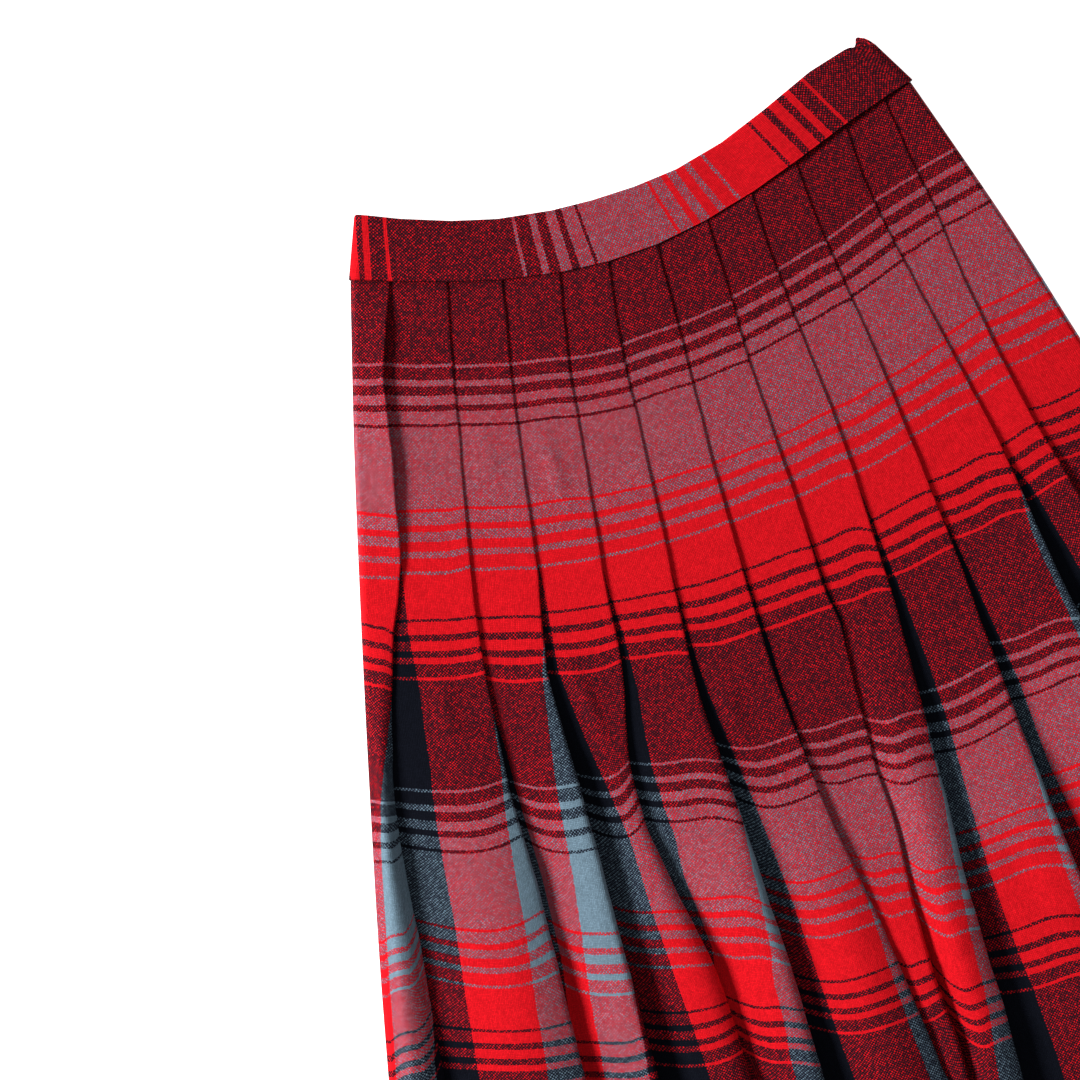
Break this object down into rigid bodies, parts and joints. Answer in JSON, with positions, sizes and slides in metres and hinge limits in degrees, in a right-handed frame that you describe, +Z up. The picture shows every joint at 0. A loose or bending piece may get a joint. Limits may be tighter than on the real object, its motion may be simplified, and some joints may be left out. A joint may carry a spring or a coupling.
{
  "type": "pleated midi skirt laid flat",
  "caption": "Knife-pleated midi skirt of soft checked wool with a plain waistband, laid flat on a surface, pleats shut at the hip and open at the hem.",
  "frame": {"origin": "on the surface that the skirt lies on, under the middle of its bounding box", "axes": "+Z up from the surface, +Y along the skirt towards the waist, +X across it to the viewer's right"},
  "size_m": [0.7474, 0.7998, 0.022],
  "materials": {
    "plaid_cloth": "red, navy and pale blue checked plain-woven wool, brushed and slightly hairy",
    "band_cloth": "the same checked wool, cut along the length of the cloth",
    "hook_metal": "satin nickel"
  },
  "bodies": {
    "root": {"front_panel": "plaid_cloth", "back_panel": "plaid_cloth", "waistband": "band_cloth", "waist_hook": "hook_metal", "waist_bar": "hook_metal"}
  },
  "joints": []
}
